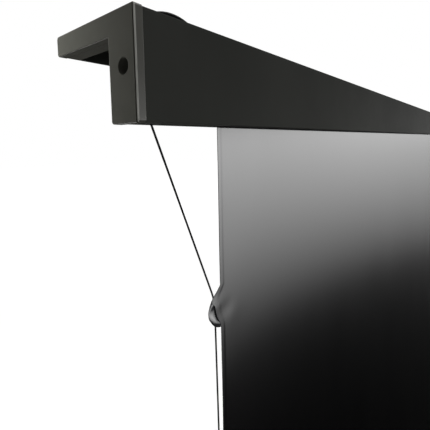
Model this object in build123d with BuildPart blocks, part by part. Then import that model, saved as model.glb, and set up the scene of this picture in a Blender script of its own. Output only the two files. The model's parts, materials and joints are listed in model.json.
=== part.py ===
"""Floor-rising tab-tensioned projection screen, raised.

Millimetres. The origin is on the floor, under the middle of the case. +X runs along the
screen to the right of someone facing it, +Y runs back, away from them, and +Z is up.
"""

import os
from math import asin, cos, degrees, pi, radians, sin

from build123d import *

os.makedirs("parts", exist_ok=True)

# ---------------------------------------------------------------- driving dimensions
VIEW_WIDTH = 2214  # the 100 inch 16:9 picture
SIDE_BORDER = 40  # black border on each side of the picture
EDGE_INSET = 100  # from the bar's end face to the fabric's edge

BAR_HEIGHT = 80  # the top bar's leg, at the end cap
BAR_DEPTH = 112
LEG_DEPTH = 32.3
ARM_HEIGHT = 17.2
CAP_PLATE = 7  # thickness of the end cap's plate
CAP_PROUD = 0.6  # the end cap stands out this far all round the extrusion
TOP_STEP = 0.5  # and a little more at the top
BAR_WALL = 3.4

CASE_DEPTH = 116
CASE_WALL = 3.5
CASE_HEIGHT = 162
CASE_CAP = 20
FLOOR_THICKNESS = 4
FOOT_HEIGHT = 8
NEST_GAP = 1  # each side of the lowered bar, between the case's end caps

LINK_LENGTH = 950  # between the pivots of each of the four equal arms
LINK_WIDTH = 28
LINK_DEPTH = 11
RAISED_ANGLE = 65  # the arms above level, degrees
PIVOT_X = 36  # pivots each side of the middle, and the gears' pitch radius
BASE_PIVOT_Z = 54
TOP_PIVOT_DROP = 24  # below the bar's top face
PIVOT_RADIUS = 6
RUNNING_GAP = 0.05  # radial, on every pin
OPEN_PIVOT_GAP = 0.3

FABRIC_THICKNESS = 0.5
FABRIC_Y = 14.5  # from the bar's front face
CORD_Y = 16.2
SLOT_Y = 15.8  # middle of the leg's underside slot, for fabric and cords
CORD_RADIUS = 0.9
TABS_PER_SIDE = 6
FIRST_TAB_DROP = 176  # tab's middle, below the leg

TUBE_RADIUS = 23
TUBE_WALL = 2
TUBE_HALF = 1165
ROLL_RADIUS = 24.4  # with the last turns of fabric on it
ROLLER_Z = 46

ADJUSTER_Z = 40  # tension screw, above the leg's underside
ADJUSTER_Y = 15
CORD_EXIT_X = 23.5  # from the bar's end face
GUIDE_Z = 30.5  # the cord's level run to the slider

# ---------------------------------------------------------------- worked-out places
FABRIC_WIDTH = VIEW_WIDTH + 2 * SIDE_BORDER
BAR_HALF = FABRIC_WIDTH / 2 + EDGE_INSET
PROFILE_HALF = BAR_HALF - CAP_PLATE - 0.3
CASE_HALF = BAR_HALF + NEST_GAP
CASE_TOP = FOOT_HEIGHT + CASE_HEIGHT
FLOOR_TOP = FOOT_HEIGHT + FLOOR_THICKNESS
FRONT = -CASE_DEPTH / 2
BACK = CASE_DEPTH / 2

LIFT_RISE = 2 * LINK_LENGTH * sin(radians(RAISED_ANGLE))
LOWERED_RISE = CASE_TOP - TOP_PIVOT_DROP - BASE_PIVOT_Z
LOWERED_ANGLE = degrees(asin(LOWERED_RISE / (2 * LINK_LENGTH)))
TRAVEL = LIFT_RISE - LOWERED_RISE
BAR_TOP = CASE_TOP + TRAVEL
LEG_BOTTOM = BAR_TOP - BAR_HEIGHT
ELBOW_X = PIVOT_X + LINK_LENGTH * cos(radians(RAISED_ANGLE))
ELBOW_Z = BASE_PIVOT_Z + LIFT_RISE / 2
TOP_PIVOT_Z = BAR_TOP - TOP_PIVOT_DROP

ARM_UNDERSIDE = BAR_HEIGHT - ARM_HEIGHT + CAP_PROUD
PLATE_UNDERSIDE = BAR_HEIGHT - CAP_PROUD - TOP_STEP - BAR_WALL
LOWER_ARM_Y = 20
UPPER_ARM_Y = 33
ROLLER_Y = FRONT + FABRIC_Y - FABRIC_THICKNESS / 2 + ROLL_RADIUS
FABRIC_BOTTOM = ROLLER_Z + 8
CORD_ANCHOR_Z = 60
TAB_PITCH = (LEG_BOTTOM - CORD_ANCHOR_Z - 2 * FIRST_TAB_DROP) / (TABS_PER_SIDE - 1)
SIDES = ((-1, "left"), (1, "right"))

made = []


def finish(builder, name):
    """Labels a finished piece and writes its file."""
    builder.part.label = name
    export_step(builder.part, f"parts/{name}.step")
    made.append(name)


def block(x0, x1, y0, y1, z0, z1, mode=Mode.ADD):
    """A box between two corners, in the part being built."""
    with Locations(((x0 + x1) / 2, (y0 + y1) / 2, (z0 + z1) / 2)):
        Box(abs(x1 - x0), abs(y1 - y0), abs(z1 - z0), mode=mode)


def rod_y(x, z, radius, y0, y1, mode=Mode.ADD):
    """A round bar or hole along Y, in the part being built."""
    with Locations(Location((x, (y0 + y1) / 2, z), (90, 0, 0))):
        Cylinder(radius, y1 - y0, mode=mode)


def rod_x(y, z, radius, x0, x1, mode=Mode.ADD):
    """A round bar or hole along X, in the part being built."""
    with Locations(Location(((x0 + x1) / 2, y, z), (0, 90, 0))):
        Cylinder(radius, abs(x1 - x0), mode=mode)


def from_end(side, distance):
    """X of a point this far in from the bar's end face."""
    return side * (BAR_HALF - distance)


def bar_plane(x):
    """The bar's cross-section at x: Y from its front face, Z from the leg's underside."""
    return Plane(origin=(x, FRONT, LEG_BOTTOM), x_dir=(0, 1, 0), z_dir=(1, 0, 0))


def bar_outline(inset):
    """The upside-down L, smaller by inset all round."""
    leg_back = LEG_DEPTH - inset
    arm_bottom = BAR_HEIGHT - ARM_HEIGHT + inset
    Polyline(
        (inset, inset),
        (leg_back, inset),
        (leg_back, arm_bottom),
        (BAR_DEPTH - inset, arm_bottom),
        (BAR_DEPTH - inset, BAR_HEIGHT - inset),
        (inset, BAR_HEIGHT - inset),
        close=True,
    )


def outer_corners(sketch):
    """Every corner of the bar's outline but the hollow one between leg and arm."""
    hollow = (LEG_DEPTH, BAR_HEIGHT - ARM_HEIGHT, 0)
    return sketch.vertices().sort_by_distance(hollow)[1:]


# ---------------------------------------------------------------- top bar
def make_top_bar_extrusion():
    wall = 2.4
    leg_back = LEG_DEPTH - CAP_PROUD
    chamber = (CAP_PROUD + wall, leg_back - wall)
    shelf = (11.5, 14)
    with BuildPart() as bar:
        with BuildSketch(bar_plane(-PROFILE_HALF)) as profile:
            with BuildLine():
                bar_outline(CAP_PROUD)
            make_face()
            with Locations((BAR_DEPTH / 2, BAR_HEIGHT)):
                Rectangle(BAR_DEPTH, 2 * (CAP_PROUD + TOP_STEP), mode=Mode.SUBTRACT)
            fillet(outer_corners(profile), 1)
            mid = ((chamber[0] + chamber[1]) / 2, (shelf[1] + PLATE_UNDERSIDE) / 2)
            with Locations(mid):
                Rectangle(chamber[1] - chamber[0], PLATE_UNDERSIDE - shelf[1], mode=Mode.SUBTRACT)
            with Locations((15.5, (3 + shelf[0]) / 2)):
                Rectangle(13, shelf[0] - 3, mode=Mode.SUBTRACT)
            with Locations((SLOT_Y, 1.5)):
                Rectangle(5, 4, mode=Mode.SUBTRACT)
            lip_front = BAR_DEPTH - CAP_PROUD - BAR_WALL
            channel = ((leg_back + lip_front) / 2, (ARM_UNDERSIDE + PLATE_UNDERSIDE) / 2)
            with Locations(channel):
                Rectangle(lip_front - leg_back, PLATE_UNDERSIDE - ARM_UNDERSIDE, mode=Mode.SUBTRACT)
        extrude(amount=2 * PROFILE_HALF)
        for side, _ in SIDES:  # the cord comes down through the shelf here
            block(
                from_end(side, 19), from_end(side, 31),
                FRONT + 12, FRONT + 20,
                LEG_BOTTOM + shelf[0] - 1, LEG_BOTTOM + shelf[1] + 1,
                mode=Mode.SUBTRACT,
            )
    finish(bar, "top_bar_extrusion")


def make_end_cap(side, name):
    """Moulded cap: its plate covers the bar's end, two blocks push into the hollows."""
    inward = -side
    leg_back = LEG_DEPTH - CAP_PROUD
    with BuildPart() as cap:
        with BuildSketch(bar_plane(side * BAR_HALF)) as outline:
            with BuildLine():
                bar_outline(0)
            make_face()
            fillet(outer_corners(outline), 2.6)
        extrude(amount=inward * CAP_PLATE)
        faces = cap.faces().sort_by(Axis.X)
        outer, inner = (faces[0], faces[-1]) if side < 0 else (faces[-1], faces[0])
        fillet(outer.edges(), 0.7)
        fillet(inner.edges(), 0.3)
        block(  # shadow groove down the outer face, just behind its front edge
            from_end(side, -1), from_end(side, 0.9),
            FRONT + 1, FRONT + 2.3,
            LEG_BOTTOM - 1, LEG_BOTTOM + BAR_HEIGHT + 1,
            mode=Mode.SUBTRACT,
        )
        start = from_end(side, CAP_PLATE)
        block(
            start, from_end(side, 18),
            FRONT + leg_back + 0.2, FRONT + BAR_DEPTH - CAP_PROUD - BAR_WALL - 0.2,
            LEG_BOTTOM + BAR_HEIGHT - ARM_HEIGHT, LEG_BOTTOM + PLATE_UNDERSIDE - 0.2,
        )
        block(
            start, from_end(side, 17),
            FRONT + 3.3, FRONT + leg_back - 2.7,
            LEG_BOTTOM + 14.3, LEG_BOTTOM + PLATE_UNDERSIDE - 0.2,
        )
        rod_x(FRONT + ADJUSTER_Y, LEG_BOTTOM + ADJUSTER_Z, 6,
              from_end(side, -1), from_end(side, 14), mode=Mode.SUBTRACT)
        rod_x(FRONT + ADJUSTER_Y, LEG_BOTTOM + ADJUSTER_Z, 3 + RUNNING_GAP,
              from_end(side, 10), from_end(side, 20), mode=Mode.SUBTRACT)
    finish(cap, f"top_bar_end_cap_{name}")


def make_tension_screw(side, name):
    """Socket-head screw that the key turns through the end cap's hole."""
    y, z = FRONT + ADJUSTER_Y, LEG_BOTTOM + ADJUSTER_Z
    with BuildPart() as screw:
        rod_x(y, z, 5, from_end(side, 8), from_end(side, 13.9))
        rod_x(y, z, 3, from_end(side, 13), from_end(side, 86))
        with BuildSketch(Plane.YZ.offset(from_end(side, 8))):
            with Locations((y, z)):
                RegularPolygon(2.5, 6, major_radius=False)
        extrude(amount=-side * 3, mode=Mode.SUBTRACT)
    finish(screw, f"tension_screw_{name}")


def make_tension_slider(side, name):
    """Tapped block that the screw draws along the leg, with the cord's end in it."""
    y, z = FRONT + ADJUSTER_Y, LEG_BOTTOM + ADJUSTER_Z
    with BuildPart() as slider:
        block(from_end(side, 56), from_end(side, 70), y - 11, y + 11, z - 13, z + 7)
        rod_x(y, z, 3 + RUNNING_GAP, from_end(side, 55), from_end(side, 71), mode=Mode.SUBTRACT)
        rod_x(FRONT + CORD_Y, LEG_BOTTOM + GUIDE_Z, CORD_RADIUS + 0.1,
              from_end(side, 55), from_end(side, 71), mode=Mode.SUBTRACT)
        chamfer(slider.edges().filter_by(Axis.X).group_by(Axis.Z)[-1], 1)
    finish(slider, f"tension_slider_{name}")


def make_cord_post(side, name):
    """Fixed round post between the leg's walls, which turns the cord downwards."""
    with BuildPart() as post:
        x, z = from_end(side, CORD_EXIT_X + 6), LEG_BOTTOM + GUIDE_Z - 6
        rod_y(x, z, 5.25, FRONT + 3.05, FRONT + LEG_DEPTH - CAP_PROUD - 2.45)
        with Locations(Location((x, FRONT + CORD_Y, z), (90, 0, 0))):
            Torus(6, CORD_RADIUS + 0.15, mode=Mode.SUBTRACT)
    finish(post, f"cord_post_{name}")


def make_cord_bush(side, name):
    """Small moulded mouth in the leg's underside slot, where the cord leaves."""
    with BuildPart() as bush:
        x = from_end(side, CORD_EXIT_X + 1)
        y = FRONT + SLOT_Y
        z = LEG_BOTTOM + CAP_PROUD
        block(x - 7, x + 7, y - 2.4, y + 2.4, z, z + 2.5)
        block(x - 7, x + 7, y - 4.5, y + 4.5, z + 2.5, z + 4.5)
        with BuildSketch(Plane.XY.offset(z - 1)):
            with Locations((x + side * 0.5, FRONT + CORD_Y)):
                Rectangle(9, 2 * CORD_RADIUS + 0.6)
        extrude(amount=8, mode=Mode.SUBTRACT)
    finish(bush, f"cord_bush_{name}")


def make_batten():
    """Round rod in the fabric's top hem, held in the leg's lower channel."""
    with BuildPart() as batten:
        rod_x(FRONT + 15.5, LEG_BOTTOM + 6.8, 3, -FABRIC_WIDTH / 2, FABRIC_WIDTH / 2)
    finish(batten, "fabric_batten")


def make_edge_strip():
    """Thin sprung strip that bows up a little from the bar's top edge, near its left end."""
    reach, rise, thickness = 14, 1.9, 0.7
    middle = from_end(-1, 36)
    base = BAR_TOP - CAP_PROUD - TOP_STEP
    with BuildPart() as strip:
        with BuildSketch(Plane.XZ.offset(-(FRONT + 9))):
            with BuildLine():
                ThreePointArc((middle - reach, base), (middle, base + rise), (middle + reach, base))
                Line((middle + reach, base), (middle + reach + 1.5, base))
                ThreePointArc((middle + reach + 1.5, base), (middle, base + rise + thickness),
                              (middle - reach - 1.5, base))
                Line((middle - reach - 1.5, base), (middle - reach, base))
            make_face()
        extrude(amount=7.5)
    finish(strip, "top_edge_strip")


def make_top_bracket():
    """Double bracket screwed up under the lid, for the two upper arms' pins."""
    under = LEG_BOTTOM + PLATE_UNDERSIDE
    half = PIVOT_X + 16
    with BuildPart() as bracket:
        block(-half, half, 28.5, 48.5, under - 3, under)
        for y in (28.5, 45.5):
            with BuildSketch(Plane.XZ.offset(-(y + 3))):
                with Locations((-PIVOT_X, TOP_PIVOT_Z), (PIVOT_X, TOP_PIVOT_Z)):
                    Circle(12)
                with Locations((0, (under - 1 + TOP_PIVOT_Z) / 2)):
                    Rectangle(2 * PIVOT_X + 24, under - 1 - TOP_PIVOT_Z)
            extrude(amount=3)
        for x in (-PIVOT_X, PIVOT_X):
            rod_y(x, TOP_PIVOT_Z, PIVOT_RADIUS + 0.02, 20, 56, mode=Mode.SUBTRACT)
    finish(bracket, "top_pivot_bracket")


def make_top_pins():
    with BuildPart() as pins:
        for x in (-PIVOT_X, PIVOT_X):
            rod_y(x, TOP_PIVOT_Z, PIVOT_RADIUS, 26.5, 49.8)
            rod_y(x, TOP_PIVOT_Z, PIVOT_RADIUS + 2, 25.5, 28.3)
    finish(pins, "top_pivot_pins")


# ---------------------------------------------------------------- screen and its edges
def make_fabric():
    y = FRONT + FABRIC_Y
    with BuildPart() as fabric:
        block(
            -FABRIC_WIDTH / 2, FABRIC_WIDTH / 2,
            y - FABRIC_THICKNESS / 2, y + FABRIC_THICKNESS / 2,
            FABRIC_BOTTOM, LEG_BOTTOM + 3.2,
        )
    finish(fabric, "screen_fabric")


def cord_points(side):
    """The cord from the slider, over the post, out of the leg, tab by tab, to its anchor."""
    first_corner = (93.1, LEG_BOTTOM - 166.4)
    second_corner = (97.8, LEG_BOTTOM - FIRST_TAB_DROP - TAB_PITCH)
    mirror_sum = LEG_BOTTOM + CORD_ANCHOR_Z
    route = (
        (56, LEG_BOTTOM + GUIDE_Z),
        (CORD_EXIT_X, LEG_BOTTOM + GUIDE_Z),
        (CORD_EXIT_X, LEG_BOTTOM + 1),
        first_corner,
        second_corner,
        (second_corner[0], mirror_sum - second_corner[1]),
        (first_corner[0], mirror_sum - first_corner[1]),
        (CORD_EXIT_X + 0.5, CORD_ANCHOR_Z),
    )
    return [(from_end(side, x), FRONT + CORD_Y, z) for x, z in route]


def cord_tube(side, radius):
    """The cord's run as a tube: straight runs joined by arcs at the post, slot and tabs."""
    points = cord_points(side)
    with BuildPart() as tube:
        with BuildLine():
            FilletPolyline(*points, radius=[6, 12, 58, 300, 300, 58])
        with BuildSketch(Plane(origin=points[0], z_dir=(side, 0, 0))):
            Circle(radius)
        sweep()
    return tube


def make_tabs(side, name):
    """Half-moon tabs welded behind the fabric's edge, each with the cord running through."""
    bulge, half_chord = 17, 22
    radius = (half_chord**2 + bulge**2) / (2 * bulge)
    centre = EDGE_INSET - bulge + radius
    tunnel = cord_tube(side, CORD_RADIUS + 0.1)
    with BuildPart() as tabs:
        with BuildSketch(Plane.XZ.offset(-(FRONT + 17.7))):
            for i in range(TABS_PER_SIDE):
                z = LEG_BOTTOM - FIRST_TAB_DROP - i * TAB_PITCH
                with Locations((from_end(side, centre), z)):
                    Circle(radius)
                with Locations((from_end(side, EDGE_INSET + 12 + radius), z)):
                    Rectangle(2 * radius, 3 * radius, mode=Mode.SUBTRACT)
        extrude(amount=17.7 - FABRIC_Y - FABRIC_THICKNESS / 2 - 0.1)
        add(tunnel.part, mode=Mode.SUBTRACT)
    finish(tabs, f"side_tabs_{name}")


# ---------------------------------------------------------------- lift
def lift_gear(side):
    """Toothed sector at the arm's foot: the two arms' teeth mesh midway between them."""
    module = 2
    root, tip = PIVOT_X - 1.25 * module, PIVOT_X + 0.9 * module
    pitch = 180 * module / PIVOT_X
    margin = 11
    swing = RAISED_ANGLE - LOWERED_ANGLE
    toward, turn, phase = (180, 1, 0) if side > 0 else (0, -1, 0.5)
    start, end = toward - turn * margin, toward + turn * (swing + margin)
    flank = ((root - 1, 0.32), (PIVOT_X, 0.215), (tip, 0.11))

    def polar(radius, angle):
        return (
            side * PIVOT_X + radius * cos(radians(angle)),
            BASE_PIVOT_Z + radius * sin(radians(angle)),
        )

    with BuildLine() as wedge:
        Line(polar(0, 0), polar(root, start))
        ThreePointArc(polar(root, start), polar(root, (start + end) / 2), polar(root, end))
        Line(polar(root, end), polar(0, 0))
    make_face(wedge.edges())
    for k in range(int(swing / pitch) + 2):
        angle = toward + turn * (k - phase) * pitch
        rising = [polar(radius, angle - share * pitch) for radius, share in flank]
        falling = [polar(radius, angle + share * pitch) for radius, share in reversed(flank)]
        with BuildLine() as tooth:
            Polyline(*rising, *falling, close=True)
        make_face(tooth.edges())


def link_plane(side, x, z, rise, y):
    """Plane at y whose X runs along a raised arm from (x, z); rise is +1 up, outward."""
    along = radians(RAISED_ANGLE)
    return Plane(origin=(x, y, z), x_dir=(side * rise * cos(along), 0, sin(along)), z_dir=(0, -1, 0))


def link_body(plane_at, y_front):
    """One pressed arm: a long slot shape with a deep channel along its front."""
    with BuildSketch(plane_at(y_front + LINK_DEPTH)) as outline:
        with Locations((LINK_LENGTH / 2, 0)):
            SlotCenterToCenter(LINK_LENGTH, LINK_WIDTH)
    extrude(outline.sketch, amount=LINK_DEPTH)
    with BuildSketch(plane_at(y_front)) as hollow:
        with Locations((LINK_LENGTH / 2, 0)):
            SlotCenterToCenter(LINK_LENGTH - 100, LINK_WIDTH - 7)
    extrude(hollow.sketch, amount=-(LINK_DEPTH - 3), mode=Mode.SUBTRACT)


def make_lower_arm(side, name):
    with BuildPart() as arm:
        link_body(lambda y: link_plane(side, side * PIVOT_X, BASE_PIVOT_Z, 1, y), LOWER_ARM_Y)
        with BuildSketch(Plane.XZ.offset(-(LOWER_ARM_Y + 10))):
            lift_gear(side)
        extrude(amount=8)
        rod_y(side * PIVOT_X, BASE_PIVOT_Z, PIVOT_RADIUS + RUNNING_GAP, 10, 40, mode=Mode.SUBTRACT)
        rod_y(side * ELBOW_X, ELBOW_Z, PIVOT_RADIUS + 0.02, 10, 40, mode=Mode.SUBTRACT)
    finish(arm, f"lower_arm_{name}")


def make_upper_arm(side, name):
    """The right one's top bore is a little loose, because it closes the diamond."""
    top_gap = RUNNING_GAP if side < 0 else OPEN_PIVOT_GAP
    with BuildPart() as arm:
        link_body(lambda y: link_plane(side, side * ELBOW_X, ELBOW_Z, -1, y), UPPER_ARM_Y)
        rod_y(side * ELBOW_X, ELBOW_Z, PIVOT_RADIUS + RUNNING_GAP, 20, 50, mode=Mode.SUBTRACT)
        rod_y(side * PIVOT_X, TOP_PIVOT_Z, PIVOT_RADIUS + top_gap, 20, 50, mode=Mode.SUBTRACT)
    finish(arm, f"upper_arm_{name}")


def make_elbow_pin(side, name):
    with BuildPart() as pin:
        rod_y(side * ELBOW_X, ELBOW_Z, PIVOT_RADIUS, 12, 46.5)
        rod_y(side * ELBOW_X, ELBOW_Z, PIVOT_RADIUS + 3, 44.3, 46.5)
        fillet(pin.faces().sort_by(Axis.Y)[-1].edges(), 0.8)
    finish(pin, f"elbow_pin_{name}")


def make_elbow_washer(side, name):
    with BuildPart() as washer:
        rod_y(side * ELBOW_X, ELBOW_Z, 11, 31.1, 32.8)
        rod_y(side * ELBOW_X, ELBOW_Z, PIVOT_RADIUS + RUNNING_GAP, 30, 34, mode=Mode.SUBTRACT)
    finish(washer, f"elbow_washer_{name}")


def make_elbow_spring(side, name):
    """Flat spiral spring round the elbow pin, as half-turns that widen step by step."""
    first, step, half_turns, strip = 7.4, 1.3, 9, 0.9
    with BuildPart() as spring:
        with BuildSketch(Plane.XZ.offset(-18.6)):
            with BuildLine():
                for k in range(half_turns):
                    sign = side if k % 2 == 0 else -side
                    near, far = first + k * step, first + (k + 1) * step
                    centre = side * ELBOW_X + sign * (near - far) / 2
                    ThreePointArc(
                        (side * ELBOW_X + sign * near, ELBOW_Z),
                        (centre, ELBOW_Z + sign * side * (near + far) / 2),
                        (side * ELBOW_X - sign * far, ELBOW_Z),
                    )
            trace(line_width=strip)
        extrude(amount=6)
    finish(spring, f"elbow_spring_{name}")


def make_base_bracket():
    """Floor bracket whose two ears carry both lower arms' pins."""
    half = PIVOT_X + 24
    with BuildPart() as bracket:
        block(-half, half, 13, 38, FLOOR_TOP, FLOOR_TOP + 3)
        for y in (15.5, 32.5):
            with BuildSketch(Plane.XZ.offset(-(y + 3))):
                with Locations((-PIVOT_X, BASE_PIVOT_Z), (PIVOT_X, BASE_PIVOT_Z)):
                    Circle(12)
                with Locations((0, (FLOOR_TOP + 1 + BASE_PIVOT_Z) / 2)):
                    Rectangle(2 * PIVOT_X + 24, BASE_PIVOT_Z - FLOOR_TOP - 1)
            extrude(amount=3)
        for x in (-PIVOT_X, PIVOT_X):
            rod_y(x, BASE_PIVOT_Z, PIVOT_RADIUS + 0.02, 10, 40, mode=Mode.SUBTRACT)
    finish(bracket, "lift_base_bracket")


def make_base_pins():
    with BuildPart() as pins:
        for x in (-PIVOT_X, PIVOT_X):
            rod_y(x, BASE_PIVOT_Z, PIVOT_RADIUS, 14, 38)
            rod_y(x, BASE_PIVOT_Z, PIVOT_RADIUS + 3, 35.7, 38)
    finish(pins, "base_pivot_pins")


# ---------------------------------------------------------------- roller and its drive
def tube_x(inner, outer, x0, x1):
    """A round tube along the roller's axis, in the part being built."""
    rod_x(ROLLER_Y, ROLLER_Z, outer, x0, x1)
    rod_x(ROLLER_Y, ROLLER_Z, inner, x0 - 1, x1 + 1, mode=Mode.SUBTRACT)


def make_roller():
    inside = TUBE_RADIUS - TUBE_WALL
    motor_end = 605
    with BuildPart() as tube:
        tube_x(inside, TUBE_RADIUS, -TUBE_HALF, TUBE_HALF)
    finish(tube, "roller_tube")
    with BuildPart() as roll:
        tube_x(TUBE_RADIUS + 0.05, ROLL_RADIUS, -FABRIC_WIDTH / 2, FABRIC_WIDTH / 2)
    finish(roll, "fabric_roll")
    with BuildPart() as crown:
        rod_x(ROLLER_Y, ROLLER_Z, inside - 0.1, motor_end - 20, motor_end - 2)
        rod_x(ROLLER_Y, ROLLER_Z, 5, motor_end - 2, motor_end + 15)
    finish(crown, "drive_crown")
    with BuildPart() as ring:
        tube_x(17.6, inside - 0.1, TUBE_HALF - 25, TUBE_HALF - 10)
    finish(ring, "motor_ring")
    with BuildPart() as plug:
        rod_x(ROLLER_Y, ROLLER_Z, inside - 0.1, -TUBE_HALF, -TUBE_HALF + 25)
        rod_x(ROLLER_Y, ROLLER_Z, 6, -TUBE_HALF - 28, -TUBE_HALF)
    finish(plug, "idler_plug")
    with BuildPart() as motor:
        rod_x(ROLLER_Y, ROLLER_Z, 17.5, motor_end, TUBE_HALF + 2)
        rod_x(ROLLER_Y, ROLLER_Z, 5 + RUNNING_GAP, motor_end - 1, motor_end + 17, mode=Mode.SUBTRACT)
    finish(motor, "roller_motor")
    with BuildPart() as head:
        rod_x(ROLLER_Y, ROLLER_Z, 21.5, TUBE_HALF + 2, TUBE_HALF + 31)
        fillet(head.faces().sort_by(Axis.X)[0].edges(), 1.5)
    finish(head, "motor_head")


def make_roller_bracket(side, name, hole):
    """Upright plate with a foot on the case's floor; hole is the idler's bearing radius."""
    near = TUBE_HALF + (31 if side > 0 else 21)
    with BuildPart() as bracket:
        block(side * near, side * (near + 4), ROLLER_Y - 24, ROLLER_Y + 24, FLOOR_TOP, ROLLER_Z + 25)
        fillet(bracket.edges().filter_by(Axis.X).group_by(Axis.Z)[-1], 8)
        block(side * (near + 4), side * (near + 14), ROLLER_Y - 24, ROLLER_Y + 24,
              FLOOR_TOP, FLOOR_TOP + 3)
        if hole:
            rod_x(ROLLER_Y, ROLLER_Z, hole, side * (near - 1), side * (near + 5), mode=Mode.SUBTRACT)
    finish(bracket, name)


def make_cord_anchor(side, name):
    """Post on the case's floor that holds the cord's lower end."""
    middle = from_end(side, CORD_EXIT_X + 0.5)
    y = FRONT + CORD_Y
    with BuildPart() as anchor:
        block(middle - 7, middle + 7, y - 4, y + 6, FLOOR_TOP, CORD_ANCHOR_Z)
        with BuildSketch(Plane.XY.offset(CORD_ANCHOR_Z)):
            with Locations((middle, y)):
                Circle(1.2)
        extrude(amount=-6, mode=Mode.SUBTRACT)
        chamfer(anchor.edges().filter_by(Axis.Z).group_by(Axis.Y)[0], 1.5)
    finish(anchor, f"cord_anchor_{name}")


# ---------------------------------------------------------------- case
INLET_X, PORT_X, SOCKET_Z = -1185, -1150, 45
IR_X, IR_Z = 1095, 61
RIB = (46.3, 54.3)
RIB_HOLE_Y, RIB_HOLE_Z = 50.3, 16


def make_case_floor():
    with BuildPart() as floor:
        block(-CASE_HALF, CASE_HALF, FRONT + 3.6, BACK - 3.6, FOOT_HEIGHT, FLOOR_TOP)
        for sign in (-1, 1):
            block(-CASE_HALF, CASE_HALF, sign * RIB[0], sign * RIB[1], FLOOR_TOP, FLOOR_TOP + 8)
            for side, _ in SIDES:
                rod_x(sign * RIB_HOLE_Y, RIB_HOLE_Z, 1.7, side * (CASE_HALF - 20),
                      side * (CASE_HALF + 1), mode=Mode.SUBTRACT)
        with Locations((0, 0, FLOOR_TOP)):
            with GridLocations(2200, 60, 2, 2):
                Hole(3)
    finish(floor, "case_floor")


def make_case_front():
    top = LEG_BOTTOM - TRAVEL - 0.5
    with BuildPart() as wall:
        block(-CASE_HALF, CASE_HALF, FRONT, FRONT + CASE_WALL, FOOT_HEIGHT, top)
        block(-CASE_HALF, CASE_HALF, FRONT + CASE_WALL, FRONT + 8, top - 2.5, top)
        fillet(wall.edges().filter_by(Axis.X).group_by(Axis.Y)[0], 1)
        block(IR_X - 15, IR_X + 15, FRONT - 1, FRONT + 5, IR_Z - 6, IR_Z + 6, mode=Mode.SUBTRACT)
    finish(wall, "case_front_wall")


def make_case_rear():
    with BuildPart() as wall:
        block(-CASE_HALF, CASE_HALF, BACK - CASE_WALL, BACK, FOOT_HEIGHT, CASE_TOP)
        fillet(wall.edges().filter_by(Axis.X).group_by(Axis.Y)[-1], 1)
        for x, width, height in ((INLET_X, 27.4, 20.4), (PORT_X, 13.4, 11.4)):
            block(x - width / 2, x + width / 2, BACK - 5, BACK + 1,
                  SOCKET_Z - height / 2, SOCKET_Z + height / 2, mode=Mode.SUBTRACT)
    finish(wall, "case_rear_wall")


def make_case_cap(side, name):
    with BuildPart() as cap:
        with BuildSketch(Plane.YZ.offset(side * CASE_HALF)) as outline:
            with Locations((0, FOOT_HEIGHT + CASE_HEIGHT / 2)):
                RectangleRounded(CASE_DEPTH, CASE_HEIGHT, 3)
        extrude(amount=side * CASE_CAP)
        outer = side * (CASE_HALF + CASE_CAP)
        fillet(cap.faces().sort_by(Axis.X)[0 if side < 0 else -1].edges(), 1.2)
        for sign in (-1, 1):
            rod_x(sign * RIB_HOLE_Y, RIB_HOLE_Z, 2, side * (CASE_HALF - 1), outer + side, mode=Mode.SUBTRACT)
            rod_x(sign * RIB_HOLE_Y, RIB_HOLE_Z, 4, outer - side * 4, outer + side, mode=Mode.SUBTRACT)
    finish(cap, f"case_end_cap_{name}")


def make_cap_screws():
    with BuildPart() as screws:
        for side, _ in SIDES:
            outer = side * (CASE_HALF + CASE_CAP - 4)
            for sign in (-1, 1):
                rod_x(sign * RIB_HOLE_Y, RIB_HOLE_Z, 3.7, outer, outer + side * 2.6)
                rod_x(sign * RIB_HOLE_Y, RIB_HOLE_Z, 1.65, side * (CASE_HALF - 16), outer)
    finish(screws, "case_end_cap_screws")


def make_feet():
    with BuildPart() as feet:
        with BuildSketch():
            with GridLocations(1150, 68, 3, 2):
                Circle(20)
        extrude(amount=FOOT_HEIGHT)
        fillet(feet.faces().group_by(Axis.Z)[0].edges(), 1)
    finish(feet, "rubber_feet")


def make_control_box():
    """Thin cover over the control board, open underneath, on the case's floor."""
    x0, x1, y0, y1, top = -1130, -1040, 14, 44, 58
    with BuildPart() as cover:
        block(x0, x1, y0, y1, FLOOR_TOP, top)
        fillet(cover.edges().filter_by(Axis.Z), 3)
        block(x0 + 2, x1 - 2, y0 + 2, y1 - 2, FLOOR_TOP, top - 2, mode=Mode.SUBTRACT)
    finish(cover, "control_box_cover")
    with BuildPart() as board:
        block(x0 + 4, x1 - 4, y0 + 3, y1 - 3, FLOOR_TOP + 6, FLOOR_TOP + 7.6)
        for x, size, height in ((-1115, 18, 22), (-1092, 12, 15), (-1070, 16, 16), (-1052, 8, 10)):
            block(x - size / 2, x + size / 2, 29 - size / 2, 29 + size / 2,
                  FLOOR_TOP + 7.6, FLOOR_TOP + 7.6 + height)
        with BuildSketch(Plane.XY.offset(FLOOR_TOP)):
            with Locations((x0 + 8, y0 + 7), (x0 + 8, y1 - 7), (x1 - 8, y0 + 7), (x1 - 8, y1 - 7)):
                Circle(2.5)
        extrude(amount=6)
    finish(board, "control_board")


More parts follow.
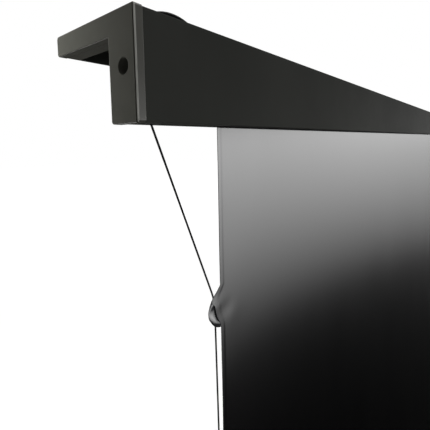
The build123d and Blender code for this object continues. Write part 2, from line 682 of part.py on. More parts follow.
def make_inlet():
    """Three-pin mains inlet: flange inside the wall, collar through it, hollow behind."""
    inner = BACK - CASE_WALL
    with BuildPart() as inlet:
        block(INLET_X - 20, INLET_X + 20, inner - 2, inner - 0.1, SOCKET_Z - 14, SOCKET_Z + 14)
        block(INLET_X - 13.5, INLET_X + 13.5, BACK - 20, BACK - 0.5, SOCKET_Z - 10, SOCKET_Z + 10)
        block(INLET_X - 12, INLET_X + 12, BACK - 16.5, BACK, SOCKET_Z - 8.2, SOCKET_Z + 8.2,
              mode=Mode.SUBTRACT)
    finish(inlet, "power_inlet")
    with BuildPart() as pins:
        for dx, dz in ((-7, -1.5), (0, 2.5), (7, -1.5)):
            block(INLET_X + dx - 1, INLET_X + dx + 1, BACK - 16.5, BACK - 6.5,
                  SOCKET_Z + dz - 2, SOCKET_Z + dz + 2)
    finish(pins, "inlet_pins")
    with BuildPart() as port:
        block(PORT_X - 9, PORT_X + 9, inner - 2, inner - 0.1, SOCKET_Z - 9, SOCKET_Z + 9)
        block(PORT_X - 6.5, PORT_X + 6.5, BACK - 16, BACK - 0.5, SOCKET_Z - 5.5, SOCKET_Z + 5.5)
        block(PORT_X - 5, PORT_X + 5, BACK - 13, BACK, SOCKET_Z - 3.6, SOCKET_Z + 3.6,
              mode=Mode.SUBTRACT)
    finish(port, "control_port")


def make_ir_window():
    with BuildPart() as window:
        block(IR_X - 14.9, IR_X + 14.9, FRONT + 0.2, FRONT + CASE_WALL, IR_Z - 5.9, IR_Z + 5.9)
        fillet(window.edges().filter_by(Axis.Y), 1)
        block(IR_X - 18, IR_X + 18, FRONT + CASE_WALL + 0.1, FRONT + CASE_WALL + 1.6,
              IR_Z - 9, IR_Z + 9)
        block(IR_X - 14, IR_X + 14, FRONT + CASE_WALL - 1, FRONT + CASE_WALL + 1, IR_Z - 5, IR_Z + 5)
    finish(window, "ir_window")


# ---------------------------------------------------------------- everything, in order
make_top_bar_extrusion()
make_batten()
make_edge_strip()
make_top_bracket()
make_top_pins()
make_fabric()
make_base_bracket()
make_base_pins()
make_roller()
make_roller_bracket(1, "motor_bracket", 0)
make_roller_bracket(-1, "idler_bracket", 6 + RUNNING_GAP)
make_case_floor()
make_case_front()
make_case_rear()
make_cap_screws()
make_feet()
make_control_box()
make_inlet()
make_ir_window()
for side, name in SIDES:
    make_end_cap(side, name)
    make_tension_screw(side, name)
    make_tension_slider(side, name)
    make_cord_post(side, name)
    make_cord_bush(side, name)
    make_cord_anchor(side, name)
    make_tabs(side, name)
    cord = cord_tube(side, CORD_RADIUS)
    length = cord.part.volume / (pi * CORD_RADIUS**2)
    print("cord", name, "length from volume", round(length, 1))
    finish(cord, f"tension_cord_{name}")
    make_lower_arm(side, name)
    make_upper_arm(side, name)
    make_elbow_pin(side, name)
    make_elbow_washer(side, name)
    make_elbow_spring(side, name)
    make_case_cap(side, name)

print(len(made), "pieces; travel", round(TRAVEL, 2), "bar top", round(BAR_TOP, 2))
print("lowered angle", round(LOWERED_ANGLE, 4), "elbow", round(ELBOW_X, 3), round(ELBOW_Z, 3))
print("leg bottom", round(LEG_BOTTOM, 3), "tab pitch", round(TAB_PITCH, 3), "top pivot", round(TOP_PIVOT_Z, 3))
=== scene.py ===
"""Looks of a floor-rising, tab-tensioned projection screen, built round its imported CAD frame."""

import math

import bmesh
import bpy
from mathutils import Matrix, Vector
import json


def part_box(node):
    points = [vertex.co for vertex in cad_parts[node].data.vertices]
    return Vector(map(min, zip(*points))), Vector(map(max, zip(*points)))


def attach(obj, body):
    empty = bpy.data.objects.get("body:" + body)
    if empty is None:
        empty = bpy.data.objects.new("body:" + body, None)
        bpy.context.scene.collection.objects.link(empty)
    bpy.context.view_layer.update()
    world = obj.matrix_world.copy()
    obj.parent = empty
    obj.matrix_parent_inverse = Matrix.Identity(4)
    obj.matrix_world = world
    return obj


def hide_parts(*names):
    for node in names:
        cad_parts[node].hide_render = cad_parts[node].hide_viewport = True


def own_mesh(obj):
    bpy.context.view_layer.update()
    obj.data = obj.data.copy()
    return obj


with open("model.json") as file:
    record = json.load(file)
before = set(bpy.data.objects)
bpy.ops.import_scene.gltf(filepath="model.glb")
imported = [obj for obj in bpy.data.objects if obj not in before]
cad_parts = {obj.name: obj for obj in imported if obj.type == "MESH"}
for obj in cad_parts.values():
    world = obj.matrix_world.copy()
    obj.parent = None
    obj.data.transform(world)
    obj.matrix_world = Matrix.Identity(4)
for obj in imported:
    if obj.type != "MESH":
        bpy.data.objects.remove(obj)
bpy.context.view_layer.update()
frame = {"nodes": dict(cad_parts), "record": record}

MM = 0.001
cap_low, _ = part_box("top_bar_end_cap_left")
fabric_low, fabric_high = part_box("screen_fabric")
_, anchor_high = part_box("cord_anchor_left")
tabs_low, tabs_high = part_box("side_tabs_left")

BAR_END = -cap_low.x  # half the bar's length
FRONT = cap_low.y  # the bar's front plane
LEG_BOTTOM = cap_low.z
FABRIC_HALF = fabric_high.x
FABRIC_MIDDLE_Y = (fabric_low.y + fabric_high.y) / 2

TAB_COUNT = 6
TAB_MARGIN = 22.7 * MM  # from the outermost tabs' middles to the node's ends
FIRST_TAB_Z = tabs_high.z - TAB_MARGIN
LAST_TAB_Z = tabs_low.z + TAB_MARGIN
TAB_PITCH = (FIRST_TAB_Z - LAST_TAB_Z) / (TAB_COUNT - 1)
TAB_HEIGHTS = [FIRST_TAB_Z - i * TAB_PITCH for i in range(TAB_COUNT)]

CORD_RADIUS = 0.9 * MM
CORD_Y = FRONT + 16.2 * MM


# ------------------------------------------------------------------ helpers
def new_object(name, mesh_or_curve):
    obj = bpy.data.objects.new(name, mesh_or_curve)
    bpy.context.scene.collection.objects.link(obj)
    return obj


def mesh_object(name, vertices, faces, smooth=True):
    mesh = bpy.data.meshes.new(name)
    mesh.from_pydata([tuple(v) for v in vertices], [], faces)
    bm = bmesh.new()
    bm.from_mesh(mesh)
    bmesh.ops.recalc_face_normals(bm, faces=bm.faces)
    bm.to_mesh(mesh)
    bm.free()
    mesh.polygons.foreach_set("use_smooth", [smooth] * len(mesh.polygons))
    return new_object(name, mesh)


def smoothstep(low, high, value):
    t = min(1.0, max(0.0, (value - low) / (high - low)))
    return t * t * (3 - 2 * t)


def eased(stops, at):
    """A smooth run through falling (place, value) stops."""
    for (high, first), (low, second) in zip(stops, stops[1:]):
        if low <= at <= high:
            return second + (first - second) * smoothstep(low, high, at)
    return 0.0


def hump(value, centre, width):
    return math.exp(-(((value - centre) / width) ** 2))


# ------------------------------------------------------------------ materials
class Sums:
    """Small number expressions as nodes of one tree."""

    def __init__(self, tree):
        self.tree = tree

    def put(self, socket, value):
        if isinstance(value, (int, float)):
            socket.default_value = value
        else:
            self.tree.links.new(value, socket)

    def math(self, operation, a, b, clamp=False):
        node = self.tree.nodes.new("ShaderNodeMath")
        node.operation = operation
        node.use_clamp = clamp
        self.put(node.inputs[0], a)
        self.put(node.inputs[1], b)
        return node.outputs[0]

    def along(self, vector, direction):
        node = self.tree.nodes.new("ShaderNodeVectorMath")
        node.operation = "DOT_PRODUCT"
        self.tree.links.new(vector, node.inputs[0])
        node.inputs[1].default_value = direction
        return node.outputs["Value"]

    def ramp(self, value, low, high, start=0.0, end=1.0):
        node = self.tree.nodes.new("ShaderNodeMapRange")
        node.interpolation_type = "SMOOTHSTEP"
        self.tree.links.new(value, node.inputs["Value"])
        for key, number in (("From Min", low), ("From Max", high), ("To Min", start), ("To Max", end)):
            node.inputs[key].default_value = number
        return node.outputs["Result"]


def shader(name, colour, roughness, **sockets):
    """A Principled material, returned with its node tree and its shader node."""
    mat = bpy.data.materials.new(name)
    mat.use_nodes = True
    bsdf = mat.node_tree.nodes["Principled BSDF"]
    bsdf.inputs["Base Color"].default_value = (*colour, 1)
    bsdf.inputs["Roughness"].default_value = roughness
    for key, value in sockets.items():
        bsdf.inputs[key.replace("_", " ")].default_value = value
    return mat, mat.node_tree, bsdf


def noise(tree, scale, detail=3, stretch=(1, 1, 1)):
    """Noise in the object's own metres; stretch draws it out along an axis."""
    nodes, links = tree.nodes, tree.links
    coords = nodes.new("ShaderNodeTexCoord")
    mapping = nodes.new("ShaderNodeMapping")
    mapping.inputs["Scale"].default_value = stretch
    texture = nodes.new("ShaderNodeTexNoise")
    texture.inputs["Scale"].default_value = scale
    texture.inputs["Detail"].default_value = detail
    links.new(coords.outputs["Object"], mapping.inputs["Vector"])
    links.new(mapping.outputs["Vector"], texture.inputs["Vector"])
    return texture.outputs["Fac"]


def spread(tree, value, low, high, target):
    """Maps noise about its middle onto low..high of a number socket."""
    ramp = tree.nodes.new("ShaderNodeMapRange")
    ramp.inputs["From Min"].default_value = 0.3
    ramp.inputs["From Max"].default_value = 0.7
    ramp.inputs["To Min"].default_value = low
    ramp.inputs["To Max"].default_value = high
    tree.links.new(value, ramp.inputs["Value"])
    tree.links.new(ramp.outputs["Result"], target)


def tint(tree, value, dark, light, target):
    """Mixes two colours by noise into a colour socket."""
    ramp = tree.nodes.new("ShaderNodeValToRGB")
    ramp.color_ramp.elements[0].position = 0.32
    ramp.color_ramp.elements[1].position = 0.68
    ramp.color_ramp.elements[0].color = (*dark, 1)
    ramp.color_ramp.elements[1].color = (*light, 1)
    tree.links.new(value, ramp.inputs["Fac"])
    tree.links.new(ramp.outputs["Color"], target)


def bump(tree, bsdf, value, strength, distance):
    node = tree.nodes.new("ShaderNodeBump")
    node.inputs["Strength"].default_value = strength
    node.inputs["Distance"].default_value = distance
    tree.links.new(value, node.inputs["Height"])
    tree.links.new(node.outputs["Normal"], bsdf.inputs["Normal"])


def scaled(colour, factor):
    return tuple(c * factor for c in colour)


def powder_coat(name, colour, roughness):
    """Fine-textured powder coat on aluminium, with a little cloudiness in its gloss."""
    mat, tree, bsdf = shader(name, colour, roughness, Specular_IOR_Level=0.012)
    cloud = noise(tree, 9, 4, (1, 1, 0.35))
    tint(tree, cloud, scaled(colour, 0.88), scaled(colour, 1.12), bsdf.inputs["Base Color"])
    spread(tree, noise(tree, 60, 4), roughness - 0.015, roughness + 0.015, bsdf.inputs["Roughness"])
    bump(tree, bsdf, noise(tree, 2200, 2), 0.35, 0.00006)
    return mat


def moulded(name, colour, roughness, grain=1400, gloss=0.32):
    """Moulded plastic with a fine spark-eroded grain."""
    mat, tree, bsdf = shader(name, colour, roughness, Specular_IOR_Level=gloss)
    tint(tree, noise(tree, 22, 3), scaled(colour, 0.88), scaled(colour, 1.12), bsdf.inputs["Base Color"])
    spread(tree, noise(tree, 140, 3), roughness - 0.04, roughness + 0.05, bsdf.inputs["Roughness"])
    bump(tree, bsdf, noise(tree, grain, 3), 0.4, 0.00005)
    return mat


def moulded_cap_painted_highlight(name, colour, roughness):
    """Moulded plastic with painted highlights: its two front edges are coloured lighter, in broken lines,
    where light would catch them.
    """
    mat = moulded(name, colour, roughness, 1400, 0.2)
    tree = mat.node_tree
    bsdf = tree.nodes["Principled BSDF"]
    plain = bsdf.inputs["Base Color"].links[0].from_socket
    sums = Sums(tree)
    place = tree.nodes.new("ShaderNodeTexCoord").outputs["Object"]
    out = sums.math("ABSOLUTE", sums.along(place, (1, 0, 0)), 0)
    ahead = sums.along(place, (0, -1, 0))
    # lip: the outer front edge, which gets a painted highlight in place of the light its rounded edge
    # would catch
    lip = sums.math("MULTIPLY", sums.ramp(out, BAR_END - 1.3 * MM, BAR_END - 0.6 * MM),
                    sums.ramp(ahead, -FRONT - 1.1 * MM, -FRONT - 0.7 * MM))
    # the front strip's inner edge, which gets a fainter painted highlight
    seam_highlight = sums.math("MULTIPLY", sums.ramp(out, BAR_END - 6.4 * MM, BAR_END - 6.7 * MM),
                     sums.ramp(ahead, -FRONT - 0.3 * MM, -FRONT - 0.1 * MM))
    broken = sums.ramp(noise(tree, 160, 4, (1, 1, 0.3)), 0.35, 0.6, 0.35, 1.0)
    # painted highlight: the two edge masks, broken up by noise, mix a lighter colour into the plastic
    painted_edge_highlight = sums.math("MULTIPLY", sums.math("MAXIMUM", lip, sums.math("MULTIPLY", seam_highlight, 0.35)), broken)
    mix = tree.nodes.new("ShaderNodeMix")
    mix.data_type = "RGBA"
    mix.inputs["B"].default_value = (0.13, 0.13, 0.12, 1)
    tree.links.new(painted_edge_highlight, mix.inputs["Factor"])
    tree.links.new(plain, mix.inputs["A"])
    tree.links.new(mix.outputs["Result"], bsdf.inputs["Base Color"])
    return mat


def metal(name, colour, roughness, drawn=(0.02, 1, 1)):
    """Bare metal with fine draw lines along the stretched axis and faint stains."""
    mat, tree, bsdf = shader(name, colour, roughness, Metallic=1.0)
    tint(tree, noise(tree, 30, 4), scaled(colour, 0.85), colour, bsdf.inputs["Base Color"])
    lines = noise(tree, 900, 2, drawn)
    spread(tree, lines, roughness - 0.07, roughness + 0.1, bsdf.inputs["Roughness"])
    bump(tree, bsdf, lines, 0.25, 0.00004)
    return mat


def screen_surface():
    """Smooth dark optical film: near black, with a broad soft gloss and a very fine lens grain."""
    mat, tree, bsdf = shader("dark_screen_film", (0.0012, 0.0012, 0.0013), 0.2, Specular_IOR_Level=0.5)
    spread(tree, noise(tree, 14, 3, (1, 1, 0.25)), 0.195, 0.21, bsdf.inputs["Roughness"])
    coords = tree.nodes.new("ShaderNodeTexCoord")
    waves = tree.nodes.new("ShaderNodeTexWave")
    waves.bands_direction = "Z"
    waves.inputs["Scale"].default_value = 400
    tree.links.new(coords.outputs["Object"], waves.inputs["Vector"])
    bump(tree, bsdf, waves.outputs["Fac"], 0.03, 0.00002)
    return mat


def screen_backing():
    """Matte light-tight coating on the film's back, over a fine crossed weave."""
    mat, tree, bsdf = shader("screen_backing", (0.014, 0.014, 0.015), 0.7, Specular_IOR_Level=0.25)
    tint(tree, noise(tree, 6, 4), (0.012, 0.012, 0.013), (0.017, 0.017, 0.018), bsdf.inputs["Base Color"])
    coords = tree.nodes.new("ShaderNodeTexCoord")
    heights = []
    for bands in ("X", "Z"):
        waves = tree.nodes.new("ShaderNodeTexWave")
        waves.bands_direction = bands
        waves.inputs["Scale"].default_value = 300
        tree.links.new(coords.outputs["Object"], waves.inputs["Vector"])
        heights.append(waves.outputs["Fac"])
    bump(tree, bsdf, Sums(tree).math("MAXIMUM", *heights), 0.3, 0.00005)
    return mat


def tab_film():
    """Soft glossy film, a little uneven from its weld."""
    mat, tree, bsdf = shader("tab_film", (0.012, 0.012, 0.013), 0.17, Specular_IOR_Level=0.6)
    spread(tree, noise(tree, 500, 3), 0.14, 0.22, bsdf.inputs["Roughness"])
    bump(tree, bsdf, noise(tree, 260, 2), 0.2, 0.0001)
    return mat


def braided_cord():
    """Tight black braid: two crossing sets of slanted ridges."""
    mat, tree, bsdf = shader("braided_cord", (0.0025, 0.0025, 0.0025), 0.6, Specular_IOR_Level=0.06)
    coords = tree.nodes.new("ShaderNodeTexCoord")
    heights = []
    for slant in (0.9, -0.9):
        mapping = tree.nodes.new("ShaderNodeMapping")
        mapping.inputs["Rotation"].default_value = (0, slant, 0)
        waves = tree.nodes.new("ShaderNodeTexWave")
        waves.bands_direction = "Z"
        waves.inputs["Scale"].default_value = 260
        tree.links.new(coords.outputs["Object"], mapping.inputs["Vector"])
        tree.links.new(mapping.outputs["Vector"], waves.inputs["Vector"])
        heights.append(waves.outputs["Fac"])
    bump(tree, bsdf, Sums(tree).math("MAXIMUM", *heights), 0.6, 0.0002)
    return mat


MATERIALS = {
    "bar_black": powder_coat("bar_powder_coat", (0.0145, 0.015, 0.0135), 0.55),
    "case_black": powder_coat("case_powder_coat", (0.0145, 0.015, 0.0138), 0.55),
    "cap_black": moulded_cap_painted_highlight("moulded_cap_painted_highlight", (0.0185, 0.0183, 0.0152), 0.37),
    "screen": screen_surface(),
    "tab": tab_film(),
    "cord": braided_cord(),
    "steel": metal("zinc_plated_steel", (0.56, 0.57, 0.58), 0.34),
    "dark_steel": metal("black_oxide_steel", (0.02, 0.02, 0.022), 0.42),
    "alloy": metal("drawn_aluminium", (0.68, 0.69, 0.7), 0.36),
    "brass": metal("brass_pins", (0.78, 0.6, 0.28), 0.3),
    "spring_steel": metal("blued_spring_steel", (0.25, 0.27, 0.32), 0.3),
    "rubber": moulded("foot_rubber", (0.014, 0.014, 0.014), 0.78, 700),
    "black_plastic": moulded("black_plastic", (0.018, 0.018, 0.018), 0.45),
    "grey_plastic": moulded("grey_plastic", (0.3, 0.31, 0.31), 0.5),
    "board": moulded("circuit_board", (0.02, 0.12, 0.055), 0.35, 300),
    "ir": moulded("infrared_window", (0.02, 0.002, 0.004), 0.12, 60),
}


def dress(obj, slot):
    obj.data.materials.clear()
    obj.data.materials.append(MATERIALS[slot])


def dress_cad_nodes():
    slots = {part["node"]: part["material_slot"] for part in frame["record"]["subparts"]}
    for name, obj in frame["nodes"].items():
        dress(obj, slots[name])


# ------------------------------------------------------------------ fabric
def nearest_tab_offset(z):
    """Height above the middle of the nearest tab."""
    return min((z - tab_z for tab_z in TAB_HEIGHTS), key=abs)


def tongue(dz):
    """How far the fabric reaches out past its straight edge beside a tab, at dz above its middle."""
    outline = (
        (23.5, 0), (19, 4), (16, 7.6), (13, 11), (10.5, 12.4), (8, 11.6), (4.5, 8.3),
        (0, 7.4), (-5, 6.2), (-9, 4.5), (-13, 2.4), (-16.5, 0.6), (-19, 0),
    )
    return eased(outline, dz / MM) * MM


def fabric_relief(inward, dz):
    """The shallow dent that a tab's pull leaves in the film, and the soft ridge round it."""
    dent = hump(inward, 9 * MM, 8 * MM) * hump(dz, -3 * MM, 9 * MM)
    ridge = hump(inward, 20 * MM, 12 * MM) * hump(dz, -10 * MM, 16 * MM)
    lip = hump(inward, -4 * MM, 4 * MM) * hump(dz, 0, 9 * MM)
    upper = hump(inward, -1 * MM, 6 * MM) * hump(dz, 12 * MM, 6 * MM)
    knuckle = hump(inward, -7 * MM, 2.5 * MM) * hump(dz, 7 * MM, 3 * MM)
    return (-0.3 * dent + 0.1 * ridge + 0.15 * lip - 0.7 * upper + 0.35 * knuckle) * MM


def fabric_rows():
    """Heights of the mesh's rows: close together beside tabs and wider between them."""
    rows, z = [], fabric_low.z
    while z < LEG_BOTTOM + 2.3 * MM:
        rows.append(z)
        z += 1.5 * MM if abs(nearest_tab_offset(z)) < 30 * MM else 9 * MM
    return rows + [LEG_BOTTOM + 2.3 * MM]


def make_fabric():
    """The stretched screen as one thin closed sheet with a welded hem down each side."""
    hem = 5.2 * MM
    inset = [0, 0.5, 1.6, 3.2, 4.8, 5.4, 7, 9.5, 13, 17, 22, 28, 36, 48, 66, 100, 160, 260, 400, 600, 860]
    across = [-FABRIC_HALF + d * MM for d in inset] + [0]
    across += [-x for x in reversed(across[:-1])]
    rows = fabric_rows()
    vertices = []
    for face in (-1, 1):
        for z in rows:
            dz = nearest_tab_offset(z)
            reach = tongue(dz)
            ripple = 0.12 * MM * math.sin(z / (41 * MM)) + 0.05 * MM * math.sin(z / (17 * MM) + 1)
            for x in across:
                inward = FABRIC_HALF - abs(x)
                follow = 1 - smoothstep(0, 16 * MM, inward)
                out_x = x + math.copysign(reach * follow, x)
                half = 0.16 * MM + 0.09 * MM * (1 - smoothstep(hem - 0.2 * MM, hem + 0.3 * MM, inward))
                y = FABRIC_MIDDLE_Y - fabric_relief(inward, dz)
                y += ripple * hump(inward, 0, 30 * MM) * (1 - smoothstep(0.97, 1, z / LEG_BOTTOM))
                vertices.append((out_x, y + face * half, z))
    columns, layer = len(across), len(rows) * len(across)
    faces = []
    for r in range(len(rows) - 1):
        for c in range(columns - 1):
            a = r * columns + c
            quad = (a, a + 1, a + columns + 1, a + columns)
            faces.append(quad)
            faces.append(tuple(v + layer for v in reversed(quad)))
    rim = list(range(columns))
    rim += [r * columns + columns - 1 for r in range(1, len(rows))]
    rim += [layer - 1 - c for c in range(1, columns)]
    rim += [r * columns for r in range(len(rows) - 2, 0, -1)]
    for a, b in zip(rim, rim[1:] + rim[:1]):
        faces.append((b, a, a + layer, b + layer))
    fabric = mesh_object("stretched_fabric", vertices, faces)
    dress(fabric, "screen")
    fabric.data.materials.append(screen_backing())
    for face in fabric.data.polygons:
        face.material_index = int(face.normal.y > 0.5)
    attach(fabric, "case")
    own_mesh(fabric)
    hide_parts("screen_fabric")


# ------------------------------------------------------------------ tabs and cords
def tab_outline(angle):
    """The soft half-moon's outer edge from its centre, pulled in above by the cord."""
    stops = (
        (100, 18.5), (70, 18.5), (45, 19.2), (28, 20.3), (15, 21),
        (0, 22.1), (-12, 22.1), (-32, 21), (-100, 21),
    )
    return eased(stops, math.degrees(angle)) * MM


def add_tab(side, z, vertices, faces):
    """A soft folded half-moon: thin at its weld, hollowed at its middle, full at its lower fold."""
    steps, rings = 48, 14
    centre_x = BAR_END - 105.7 * MM
    widest = math.radians(100)
    start = len(vertices)
    radials = [0.42 + 0.58 * math.sin(k / rings * math.pi / 2) for k in range(rings + 1)]
    for face in (-1, 1):
        for s in range(steps + 1):
            angle = -widest + 2 * widest * s / steps
            closing = math.cos(angle * 0.5 / widest * math.pi * 0.86)
            for radial in radials:
                fold = math.sqrt(max(0.0, 1 - ((radial - 0.42) / 0.58) ** 6))
                reach = tab_outline(angle) * radial
                dz = reach * math.sin(angle)
                half = 0.45 + 0.45 * hump(radial, 0.8, 0.2)
                if face < 0:
                    outer = smoothstep(0.6, 0.84, radial)
                    half += outer * (1.9 * hump(dz, -14 * MM, 8 * MM) + 1.0 * hump(dz, 9 * MM, 5.5 * MM))
                    half -= 0.45 * outer * hump(dz, 0, 5 * MM)
                half *= fold * (0.35 + 0.65 * closing) * MM
                x = side * (centre_x + reach * math.cos(angle))
                vertices.append((x, CORD_Y + face * half, z + dz))
    count, layer = rings + 1, (steps + 1) * (rings + 1)
    for s in range(steps):
        for k in range(rings):
            a = start + s * count + k
            quad = (a, a + 1, a + count + 1, a + count)
            faces.append(quad)
            faces.append(tuple(v + layer for v in reversed(quad)))
    border = [start + k for k in range(count)]
    border += [start + s * count + rings for s in range(1, steps + 1)]
    border += [start + steps * count + k for k in range(rings - 1, -1, -1)]
    border += [start + s * count for s in range(steps - 1, 0, -1)]
    for a, b in zip(border, border[1:] + border[:1]):
        faces.append((b, a, a + layer, b + layer))


def make_tabs(side, name):
    vertices, faces = [], []
    for z in TAB_HEIGHTS:
        add_tab(side, z, vertices, faces)
    tabs = mesh_object(f"soft_tabs_{name}", vertices, faces)
    dress(tabs, "tab")
    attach(tabs, "case")
    squash_into_case(tabs)
    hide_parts(f"side_tabs_{name}")


def squash_into_case(obj):
    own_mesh(obj)


def rounded_path(corners, radii, steps=10):
    """Straight runs joined by arcs of the given radii, as points."""
    points = [corners[0]]
    for before, corner, after, radius in zip(corners, corners[1:], corners[2:], radii):
        into, out = (corner - before).normalized(), (after - corner).normalized()
        turn = into.angle(out)
        tangent = radius * math.tan(turn / 2)
        centre = corner + (out - into).normalized() * (radius / math.cos(turn / 2))
        first = corner - into * tangent - centre
        last = corner + out * tangent - centre
        points += [centre + first.slerp(last, k / steps) * radius / first.slerp(last, k / steps).length
                   for k in range(steps + 1)]
    return points + [corners[-1]]


def tube_mesh(name, points, radius, sides=14):
    """A closed tube along points that all lie in one upright plane."""
    vertices, faces = [], []
    across = Vector((0, 1, 0))
    for i, point in enumerate(points):
        along = (points[min(i + 1, len(points) - 1)] - points[max(i - 1, 0)]).normalized()
        up = along.cross(across).normalized()
        for k in range(sides):
            turn = 2 * math.pi * k / sides
            vertices.append(point + (across * math.cos(turn) + up * math.sin(turn)) * radius)
    for i in range(len(points) - 1):
        for k in range(sides):
            a, b = i * sides + k, i * sides + (k + 1) % sides
            faces.append((a, b, b + sides, a + sides))
    faces.append(tuple(range(sides)))
    faces.append(tuple(range(len(vertices) - sides, len(vertices))))
    return mesh_object(name, vertices, faces)


def make_cord(side, name):
    """The taut cord: one piece inside the bar, and one from its mouth down to the anchor."""
    def at(from_end, z):
        return Vector((side * (BAR_END - from_end * MM), CORD_Y, z))

    mouth_x, level = 23.5, LEG_BOTTOM + 30.5 * MM
    anchor_z = anchor_high.z
    first = (93.1, LEG_BOTTOM - 166.4 * MM)
    second = (97.8, FIRST_TAB_Z - TAB_PITCH)
    total = LEG_BOTTOM + anchor_z
    in_slider = 65  # past the slider's outer face at both ends of its travel
    bend = at(mouth_x, level)
    inside = rounded_path([at(in_slider, level), bend, at(mouth_x, LEG_BOTTOM + 3 * MM)], [6 * MM])
    piece = tube_mesh(f"cord_in_bar_{name}", inside, CORD_RADIUS)
    dress(piece, "cord")
    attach(piece, "top_bar")
    corners = [
        at(mouth_x, LEG_BOTTOM + 3 * MM), at(mouth_x, LEG_BOTTOM + 1 * MM),
        at(*first), at(*second),
        at(second[0], total - second[1]), at(first[0], total - first[1]),
        at(mouth_x + 0.5, anchor_z),
    ]
    path = rounded_path(corners, [8 * MM, 58 * MM, 300 * MM, 300 * MM, 58 * MM])
    cord = tube_mesh(f"taut_cord_{name}", path, CORD_RADIUS)
    dress(cord, "cord")
    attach(cord, "case")
    squash_into_case(cord)
    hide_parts(f"tension_cord_{name}")


# ------------------------------------------------------------------ camera, light, floor
def make_camera():
    """Close to the bar's left end, just below it, looking along the screen to the right."""
    yaw, pitch, roll = math.radians(49.5), math.radians(4.7), math.radians(1.19)
    place = Vector((-BAR_END - 138.7 * MM, FRONT - 185.8 * MM, LEG_BOTTOM - 14.75 * MM))
    forward = Vector((math.sin(yaw), math.cos(yaw), 0))
    right = Vector((math.cos(yaw), -math.sin(yaw), 0))
    down = Vector((0, 0, -1))
    look = forward * math.cos(pitch) + down * math.sin(pitch)
    below = down * math.cos(pitch) - forward * math.sin(pitch)
    x_axis = right * math.cos(roll) + below * math.sin(roll)
    y_axis = right * math.sin(roll) - below * math.cos(roll)
    data = bpy.data.cameras.new("camera")
    data.lens = 27.69
    data.shift_y = -0.1047
    data.clip_start = 0.01
    camera = new_object("camera", data)
    camera.matrix_world = Matrix.Translation(place) @ Matrix((x_axis, y_axis, -look)).transposed().to_4x4()
    bpy.context.scene.camera = camera


def make_world():
    """White for the camera; for the rest a grey sky, dark ground and a soft low window at front right."""
    world = bpy.data.worlds.new("studio")
    world.use_nodes = True
    bpy.context.scene.world = world
    tree = world.node_tree
    sums = Sums(tree)
    direction = tree.nodes.new("ShaderNodeTexCoord").outputs["Generated"]
    middle = math.radians(51.4)
    height = sums.along(direction, (0, 0, 1))
    sideways = sums.along(direction, (math.cos(middle), math.sin(middle), 0))
    ahead = sums.along(direction, (math.sin(middle), -math.cos(middle), 0))
    fade = sums.math("SUBTRACT", 13.6, sums.math("MULTIPLY", sideways, 20.5))
    level = sums.math("MAXIMUM", sums.math("MINIMUM", fade, 14.5), 0.0)
    slope = sums.math("SUBTRACT", 0.545, sums.math("MULTIPLY", sideways, 0.53))
    lift = sums.math("MAXIMUM", sums.math("ADD", height, slope), 0.0)
    window = sums.math("MULTIPLY", level, lift)
    edges = (
        sums.ramp(sideways, -0.9, -0.3),
        sums.ramp(ahead, 0.0, 0.3),
        sums.ramp(height, 0.03, 0.12, 1, 0),
    )
    for edge in edges:
        window = sums.math("MULTIPLY", window, edge)
    sky = sums.ramp(height, -0.05, 0.1, 0.0, 0.2)
    light = sums.math("ADD", window, sky)
    camera_ray = tree.nodes.new("ShaderNodeLightPath").outputs["Is Camera Ray"]
    strength = sums.math("MAXIMUM", light, camera_ray)
    tree.links.new(strength, tree.nodes["Background"].inputs["Strength"])
    tree.nodes["Background"].inputs["Color"].default_value = (1, 1, 1, 1)


def make_softbox(name, place, target, width, height, watts):
    data = bpy.data.lights.new(name, "AREA")
    data.shape = "RECTANGLE"
    data.size, data.size_y = width, height
    data.energy = watts
    light = new_object(name, data)
    light.location = place
    light.rotation_euler = (Vector(target) - Vector(place)).to_track_quat("-Z", "Y").to_euler()
    light.visible_camera = False
    return light


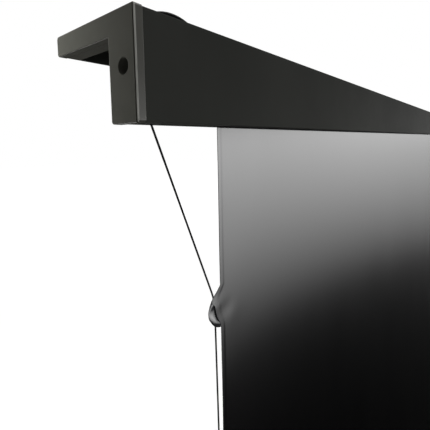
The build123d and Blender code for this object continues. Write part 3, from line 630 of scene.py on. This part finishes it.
def make_floor():
    """A pale round floor whose glow rises to white with distance, so that no horizon shows."""
    mesh = bpy.data.meshes.new("studio_floor")
    rings, spokes, reach = 12, 48, 30.0
    vertices = [(0, 0, 0)]
    for r in range(1, rings + 1):
        for s in range(spokes):
            turn = 2 * math.pi * s / spokes
            radius = reach * (r / rings) ** 2
            vertices.append((radius * math.cos(turn), radius * math.sin(turn), 0))
    faces = [(0, 1 + s, 1 + (s + 1) % spokes) for s in range(spokes)]
    for r in range(rings - 1):
        for s in range(spokes):
            a, b = 1 + r * spokes + s, 1 + r * spokes + (s + 1) % spokes
            faces.append((a, a + spokes, b + spokes, b))
    mesh.from_pydata(vertices, [], faces)
    floor = new_object("studio_floor", mesh)
    mat, tree, bsdf = shader("pale_floor", (0.5, 0.5, 0.5), 0.9, Specular_IOR_Level=0.1)
    bsdf.inputs["Emission Color"].default_value = (1, 1, 1, 1)
    sums = Sums(tree)
    place = tree.nodes.new("ShaderNodeTexCoord").outputs["Object"]
    length = tree.nodes.new("ShaderNodeVectorMath")
    length.operation = "LENGTH"
    tree.links.new(place, length.inputs[0])
    glow = sums.ramp(length.outputs["Value"], 1.6, 7, 0.6, 1.0)
    tree.links.new(glow, bsdf.inputs["Emission Strength"])
    tint(tree, noise(tree, 0.8, 3), (0.5, 0.5, 0.5), (0.52, 0.52, 0.52), bsdf.inputs["Base Color"])
    mesh.materials.append(mat)
    floor.visible_glossy = False


def make_studio():
    make_world()
    make_floor()
    back = make_softbox("back_softbox", (-1.6, 2.9, 2.3), (-1.2, 0, 1.75), 1.1, 1.8, 28)
    back.data.color = (1.0, 1.0, 0.86)
    make_softbox("low_fill", (-1.55, 0.95, 0.5), (-1.2, 0.03, 1.78), 0.9, 0.9, 34)
    make_softbox("edge_strip_light", (-3.1, -1.95, 1.95), (-1.25, -0.05, 1.76), 0.3, 1.5, 12)
    make_softbox("top_softbox", (0, -0.5, 4.6), (0, 0, 0), 6, 5, 230)
    bpy.context.scene.view_settings.view_transform = "Standard"


# ------------------------------------------------------------------ everything
make_camera()
dress_cad_nodes()
make_fabric()
for side, name in ((-1, "left"), (1, "right")):
    make_tabs(side, name)
    make_cord(side, name)
make_studio()
